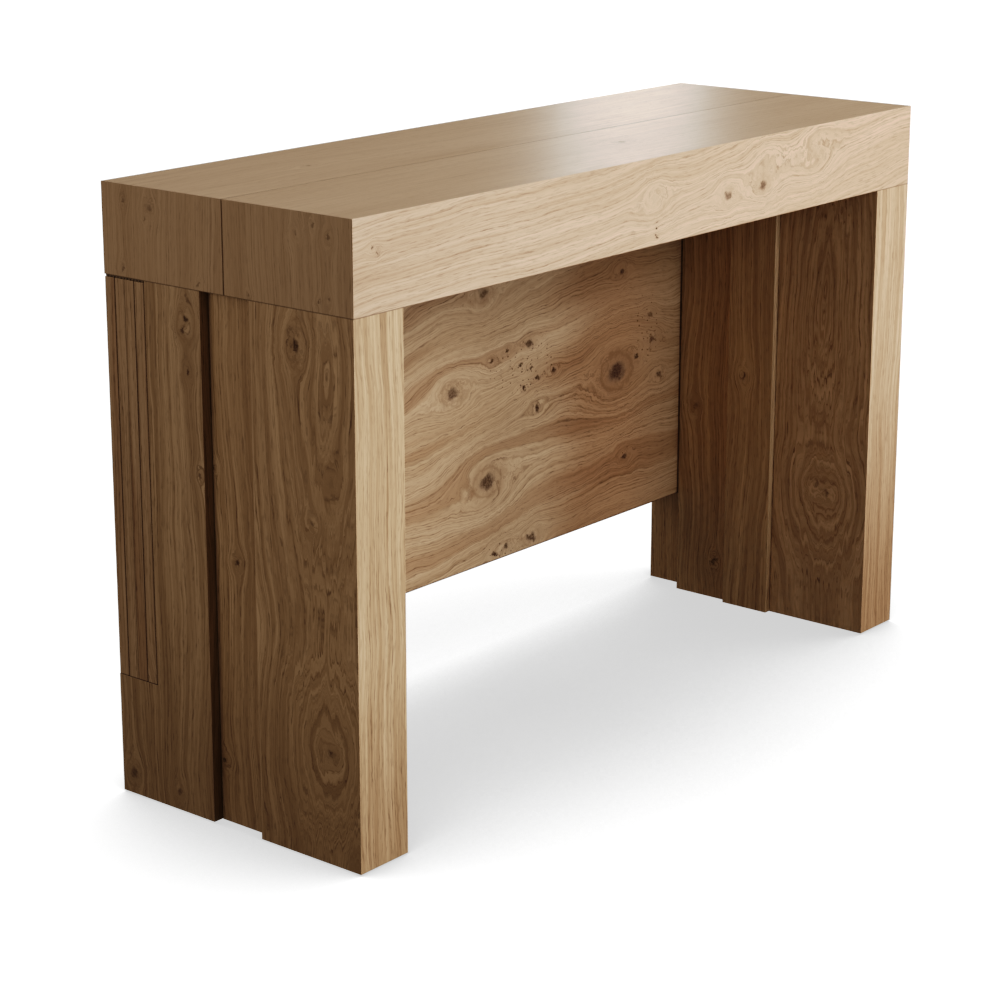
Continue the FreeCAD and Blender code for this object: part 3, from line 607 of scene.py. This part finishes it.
FRONT_TOP_KNOTS = ((0.05, -0.09, 0.008, 0.35),)
BACK_APRON_KNOTS = ((0.30, 0.70, 0.010, 0.60),)
PLAIN_LEAF_KNOTS = ((0.22, 0.30, 0.014, 0.70), (-0.31, 0.47, 0.010, 0.65), (-0.12, 0.22, 0.007, 0.75))

# Patches of pin knots: metres along and across the grain, reach along and across
FRONT_LEAF_PINS = (
    (0.125, 0.425, 0.085, 0.040), (0.415, 0.430, 0.035, 0.060), (0.075, 0.168, 0.036, 0.014),
    (0.363, 0.250, 0.020, 0.014),
)

# Closed rings of the front legs: metres across the grain, then metres along it and slope of each centre
LEFT_LEG_ARCH = (-0.155, ((0.585, 0.20), (0.140, 0.48)))
RIGHT_LEG_ARCH = (-0.132, ((0.483, 0.18), (0.204, 0.45)))

# Dark lines where boards meet: axis, place along it, half width, strength
SEAM = ("y", 0.0, 0.0011, 0.80)
TOP_SEAM = ("y", 0.0, 0.0016, 0.75)
LEG_TOP = ("z", 0.659, 0.0007, 0.55)
LEAF_LINES = (
    ("y", 0.1826, 0.0010, 0.85), ("y", 0.1495, 0.0010, 0.85), ("y", 0.16605, 0.0005, 0.6),
    ("y", 0.1330, 0.0010, 0.70), ("z", 0.1560, 0.0013, 0.80),
)
# Painted shade where the face of the front leaf meets the legs, given in the same way
LEAF_CORNER_SHADE = (("x", 0.5020, 0.0018, 0.85), ("x", -0.5020, 0.0018, 0.85))

# A painted highlight along the rear edge of the front left leg, given in the same way
LEG_EDGE_HIGHLIGHT = ("y", -0.0412, 0.0012, 0.30)

# Painted shade of the legs towards the floor: strength on front and back, strength on the sides, height of
# its upper end
PAINTED_FOOT_SHADE = (0.62, 0.36, 0.28)
DEEP_PAINTED_FOOT_SHADE = (1.0, 0.10, 0.52)

# Painted shadow of the legs on the leaves: where it begins, where it is full, strength
LEAF_PAINTED_SHADOW = (0.13, 0.28, 0.85)


def dress_tops():
    look = dict(grain="x", wild=0.010, spacing=0.0065, lines=0.22, gloss=0.32, joints=(TOP_SEAM,))
    dress("rear_top_panel", oak("oak_rear_top", seed=3.1, knots=REAR_TOP_KNOTS, **look))
    dress("front_top_panel", oak("oak_front_top", seed=7.4, knots=FRONT_TOP_KNOTS, **look))


def dress_aprons():
    look = dict(grain="x", wild=0.011, spacing=0.0050, lines=0.80, tilt=0.09, tone=1.21, yellow=0.93,
                joints=(LEG_TOP,))
    dress("front_apron", oak("oak_front_apron", seed=12.7, knots=FRONT_APRON_KNOTS, **look))
    dress("back_apron", oak("oak_back_apron", seed=15.2, knots=BACK_APRON_KNOTS, **look))
    side = dict(grain="z", wild=0.007, spacing=0.0045, lines=0.52, joints=(SEAM, LEG_TOP))
    dress("front_side_apron_left", oak("oak_side_1", seed=21.0, knots=LEFT_FRONT_SIDE_KNOTS, **side))
    dress("rear_side_apron_left", oak("oak_side_2", seed=22.6, knots=LEFT_REAR_SIDE_KNOTS, **side))
    dress("front_side_apron_right", oak("oak_side_3", seed=24.3, knots=RIGHT_FRONT_SIDE_KNOTS, **side))
    dress("rear_side_apron_right", oak("oak_side_4", seed=25.9, knots=RIGHT_REAR_SIDE_KNOTS, **side))


def dress_legs():
    # Every leg gets painted shade towards the floor
    look = dict(grain="z", wild=0.016, spacing=0.0050, lines=1.0, tone=1.18, joints=(LEG_TOP,),
                painted_foot_shade=PAINTED_FOOT_SHADE, dash=15.0, streak=0.66, yellow=1.03)
    # The front left leg gets a painted highlight along its rear edge
    front_left = dict(look, arch=LEFT_LEG_ARCH, painted_highlights=(LEG_EDGE_HIGHLIGHT,))
    dress("front_leg_left", oak("oak_leg_1", seed=31.3, knots=LEFT_FRONT_LEG_KNOTS, **front_left))
    front_right = dict(look, painted_foot_shade=DEEP_PAINTED_FOOT_SHADE, tone=1.22, yellow=0.98, arch=RIGHT_LEG_ARCH)
    dress("front_leg_right", oak("oak_leg_2", seed=33.8, knots=RIGHT_FRONT_LEG_KNOTS, **front_right))
    dress("middle_leg_left", oak("oak_leg_3", seed=35.1, knots=LEFT_MIDDLE_LEG_KNOTS, **look))
    dress("middle_leg_right", oak("oak_leg_4", seed=36.4, knots=RIGHT_MIDDLE_LEG_KNOTS, **look))
    # The rear legs also get painted shade where they meet the middle legs
    rear_left = dict(look, painted_meeting_shade=0.8, tone=1.07)
    dress("rear_leg_left", oak("oak_leg_5", seed=38.2, knots=LEFT_REAR_LEG_KNOTS, **rear_left))
    rear_right = dict(look, painted_meeting_shade=0.8)
    dress("rear_leg_right", oak("oak_leg_6", seed=39.7, knots=RIGHT_REAR_LEG_KNOTS, **rear_right))


# The front leaf shows its face in the knee space, so it has knots, pins and painted shade at the legs of its
# own
def dress_leaves():
    # Every leaf gets the painted shadow of the legs
    look = dict(grain="x", wild=0.030, spacing=0.0050, lines=1.15, tilt=0.10, tone=1.05, bands=0.55,
                joints=LEAF_LINES, painted_leg_shadow=LEAF_PAINTED_SHADOW)
    # Only the front leaf gets the painted shade where it meets the legs
    front = dict(look, joints=LEAF_LINES + LEAF_CORNER_SHADE, pins=FRONT_LEAF_PINS)
    first_seed = 41.9
    dress("leaf_1", oak("oak_leaf_1", seed=first_seed, knots=FRONT_LEAF_KNOTS, **front))
    for number in (2, 3, 4):
        material = oak(f"oak_leaf_{number}", seed=first_seed + 2.3 * number, knots=PLAIN_LEAF_KNOTS, **look)
        dress(f"leaf_{number}", material)


def dress_hidden_wood():
    along_x = beech("beech_beam", "x", 51.0)
    along_y = beech("beech_batten", "y", 53.0)
    along_z = beech("beech_block", "z", 55.0)
    dress("middle_beam", along_x)
    for side in ("left", "right"):
        dress(f"rear_rail_batten_{side}", along_y)
        dress(f"front_rail_batten_{side}", along_y)
        dress(f"middle_carrier_{side}", along_y)
        dress(f"rear_corner_block_{side}", along_z)
        dress(f"front_corner_block_{side}", along_z)


RAIL_STAGES = ("rear_rail", "rail_1", "rail_2", "rail_3", "middle_rail", "rail_5", "rail_6", "rail_7",
               "front_rail")
STEEL_NODES = ("rear_leg_bolts", "front_leg_bolts", "middle_leg_bolts", "rear_rail_screws",
               "front_rail_screws", "carrier_screws", "leaf_retainers", "retainer_screws")
GLIDE_NODES = ("rear_leg_glides", "front_leg_glides", "middle_leg_glides")


def dress_fittings():
    for side in ("left", "right"):
        for number, stage in enumerate(RAIL_STAGES):
            dress(f"{stage}_{side}", aluminium(f"aluminium_{stage}_{side}", 1.9 * number))
    steel = zinc_steel("zinc_steel")
    for node in STEEL_NODES:
        dress(node, steel)
    glide = nylon("nylon_glide", 0.035, 0.030, 0.026)
    for node in GLIDE_NODES:
        dress(node, glide)


dress_tops()
dress_aprons()
dress_legs()
dress_leaves()
dress_hidden_wood()
dress_fittings()

# Buffers: distance of both ends from the middle of the table, and number of ribs
BUFFER_INNER = 0.5700
BUFFER_OUTER = 0.5845
BUFFER_RIBS = 12

# How far a buffer keeps from the outer faces of the stack of leaves and from their tops
BUFFER_MARGIN = 0.0005
BUFFER_CLEARANCE = 0.0003

# Thickness of the strip, how far below its top the ribs begin, and the radius of all edges
BUFFER_STRIP = 0.0009
BUFFER_RIB_TOP = 0.0007
BUFFER_EDGE = 0.0003

# Where a rib starts and stops, as shares of the pitch
RIB_START = 0.12
RIB_STOP = 0.88


# Ribbed buffers under the side aprons that keep the stored leaves from knocking
def leaf_buffer(name, left, right, material):
    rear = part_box("leaf_4")[1][1] - BUFFER_MARGIN
    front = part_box("leaf_1")[0][1] + BUFFER_MARGIN
    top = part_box("rear_side_apron_left")[0][2]
    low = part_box("leaf_1")[1][2] + BUFFER_CLEARANCE
    pitch = (rear - front) / BUFFER_RIBS
    blocks = [(front, rear, top - BUFFER_STRIP, top)]
    for rib in range(BUFFER_RIBS):
        start = front + pitch * (rib + RIB_START)
        stop = front + pitch * (rib + RIB_STOP)
        blocks.append((start, stop, low, top - BUFFER_RIB_TOP))
    shape = bmesh.new()
    for start, stop, bottom, upper in blocks:
        made = bmesh.ops.create_cube(shape, size=1.0)
        for corner in made["verts"]:
            corner.co.x = left + (corner.co.x + 0.5) * (right - left)
            corner.co.y = start + (corner.co.y + 0.5) * (stop - start)
            corner.co.z = bottom + (corner.co.z + 0.5) * (upper - bottom)
    bmesh.ops.recalc_face_normals(shape, faces=shape.faces)
    bmesh.ops.bevel(shape, geom=list(shape.edges), offset=BUFFER_EDGE, segments=2, affect="EDGES",
                    profile=0.5)
    mesh = bpy.data.meshes.new(name)
    shape.to_mesh(mesh)
    shape.free()
    piece = bpy.data.objects.new(name, mesh)
    scene.collection.objects.link(piece)
    mesh.materials.append(material)
    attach(piece, "rear_half")


def buffers():
    material = nylon("nylon_buffer", 0.115, 0.078, 0.048)
    leaf_buffer("leaf_buffer_left", -BUFFER_OUTER, -BUFFER_INNER, material)
    leaf_buffer("leaf_buffer_right", BUFFER_INNER, BUFFER_OUTER, material)


buffers()

# Floor: half its side, its level just under the glides, and how far the table's painted shadow reaches on it
FLOOR_REACH = 30.0
FLOOR_LEVEL = -0.0003
PAINTED_SHADOW_REACH = 0.85


# Pale glowing floor with a painted shadow under the table, which doesn't throw its own light on the table
def floor():
    mesh = bpy.data.meshes.new("floor")
    sides = ((-1, -1), (1, -1), (1, 1), (-1, 1))
    corners = [(x * FLOOR_REACH, y * FLOOR_REACH, FLOOR_LEVEL) for x, y in sides]
    mesh.from_pydata(corners, [], [(0, 1, 2, 3)])
    piece = bpy.data.objects.new("floor", mesh)
    scene.collection.objects.link(piece)
    material, nodes, shader = new_material("floor")
    cloud = nodes.noise(nodes.add("ShaderNodeTexCoord").outputs["Object"], 6.0, 3.0, 0.5)
    # Painted shadow: the glow is dimmer where the table hides the surroundings
    painted_shadow = nodes.add("ShaderNodeAmbientOcclusion", samples=20)
    painted_shadow.inputs["Distance"].default_value = PAINTED_SHADOW_REACH
    brightness = nodes.span(painted_shadow.outputs["AO"], 0.40, 0.90, 0.56, 1.15)
    shader.inputs["Base Color"].default_value = colour(0.02, 0.02, 0.02)
    shader.inputs["Roughness"].default_value = 0.9
    shader.inputs["Specular IOR Level"].default_value = 0.0
    shader.inputs["Emission Color"].default_value = colour(1.0, 1.0, 1.0)
    nodes.put(shader.inputs["Emission Strength"], nodes.math("MULTIPLY_ADD", cloud, 0.01, brightness))
    mesh.materials.append(material)
    piece.visible_diffuse = False
    piece.visible_glossy = False


floor()

WHITE = (1.0, 1.0, 1.0)
WARM = (1.0, 0.88, 0.76)
PALE_WARM = (1.0, 0.95, 0.88)

# Strength of the surroundings below and above the table, and where the camera looks past it
LOW_SURROUNDINGS = 0.08
HIGH_SURROUNDINGS = 0.22
SEEN_SURROUNDINGS = 1.5


def area_light(name, place, target, width, height, power, spread, tint=WHITE, sheen=True):
    data = bpy.data.lights.new(name, "AREA")
    data.shape = "RECTANGLE"
    data.size = width
    data.size_y = height
    data.energy = power
    data.spread = math.radians(spread)
    data.color = tint
    lamp = bpy.data.objects.new(name, data)
    scene.collection.objects.link(lamp)
    lamp.location = place
    lamp.rotation_euler = (Vector(target) - Vector(place)).to_track_quat("-Z", "Y").to_euler()
    lamp.visible_camera = False
    lamp.visible_glossy = sheen


# Lights: a soft key in front, a window far right, dim warm ones behind and left, a strip for the top's sheen
def lights():
    area_light("key", place=(0.6, -2.6, 1.50), target=(-0.1, -0.2, 0.70), width=1.8, height=1.3,
               power=29.0, spread=140.0)
    area_light("window", place=(6.2, -3.0, 2.6), target=(0.0, -0.2, 0.60), width=2.6, height=2.4,
               power=540.0, spread=180.0, sheen=False)
    area_light("back", place=(1.0, 3.2, 0.80), target=(0.0, 0.2, 0.45), width=2.2, height=1.0,
               power=9.0, spread=150.0, tint=WARM, sheen=False)
    area_light("side", place=(-2.7, 0.8, 1.35), target=(-0.585, 0.0, 0.80), width=1.0, height=0.8,
               power=1.15, spread=70.0, tint=WARM)
    area_light("strip", place=(2.61, 1.79, 1.35), target=(0.3, 0.1, 0.77), width=0.35, height=1.0,
               power=2.7, spread=180.0, tint=PALE_WARM)


# Dim warm surroundings, which the camera sees as white
def surroundings():
    world = bpy.data.worlds.new("studio")
    scene.world = world
    world.use_nodes = True
    world.node_tree.nodes.clear()
    nodes = Nodes(world.node_tree)
    up = nodes.split(nodes.add("ShaderNodeTexCoord").outputs["Generated"])[2]
    level = nodes.span(up, -0.6, 0.8, LOW_SURROUNDINGS, HIGH_SURROUNDINGS)
    seen = nodes.add("ShaderNodeLightPath").outputs["Is Camera Ray"]
    unseen = nodes.math("SUBTRACT", 1.0, seen)
    strength = nodes.math("ADD", nodes.math("MULTIPLY", level, unseen),
                          nodes.math("MULTIPLY", seen, SEEN_SURROUNDINGS))
    background = nodes.add("ShaderNodeBackground")
    nodes.put(background.inputs["Color"], nodes.mix(seen, colour(*WARM), colour(*WHITE)))
    nodes.put(background.inputs["Strength"], strength)
    output = nodes.add("ShaderNodeOutputWorld")
    world.node_tree.links.new(background.outputs[0], output.inputs["Surface"])


lights()
surroundings()

# Points of the tone curve, from rendered to shown brightness
TONE_POINTS = (
    (0.02, 0.0123), (0.042, 0.0364), (0.073, 0.0795), (0.115, 0.1453), (0.16, 0.2171), (0.21, 0.2928),
    (0.27, 0.3741), (0.33, 0.444), (0.40, 0.5125), (0.48, 0.576), (0.58, 0.645), (0.75, 0.790),
)


# Contrast of the photograph
def tone():
    settings = scene.view_settings
    settings.view_transform = "Standard"
    settings.look = "None"
    settings.use_curve_mapping = True
    curves = settings.curve_mapping
    combined = curves.curves[3]
    for rendered, shown in TONE_POINTS:
        combined.points.new(rendered, shown)
    curves.update()


tone()

# Camera: place in metres, direction in degrees, lens and sensor in millimetres
CAMERA_PLACE = (-2.618, -2.0746, 1.2679)
CAMERA_AZIMUTH = -50.491
CAMERA_ELEVATION = 14.875
CAMERA_LENS = 93.23
CAMERA_SENSOR = 36.0
CAMERA_SHIFT = -0.07


# Camera at the photograph's angle
def camera():
    data = bpy.data.cameras.new("camera")
    eye = bpy.data.objects.new("camera", data)
    scene.collection.objects.link(eye)
    azimuth = math.radians(CAMERA_AZIMUTH)
    elevation = math.radians(CAMERA_ELEVATION)
    back = Vector((math.sin(azimuth) * math.cos(elevation),
                   -math.cos(azimuth) * math.cos(elevation),
                   math.sin(elevation)))
    eye.location = CAMERA_PLACE
    eye.rotation_euler = (-back).to_track_quat("-Z", "Y").to_euler()
    data.sensor_width = CAMERA_SENSOR
    data.lens = CAMERA_LENS
    data.shift_y = CAMERA_SHIFT
    data.clip_end = 100.0
    scene.camera = eye


camera()
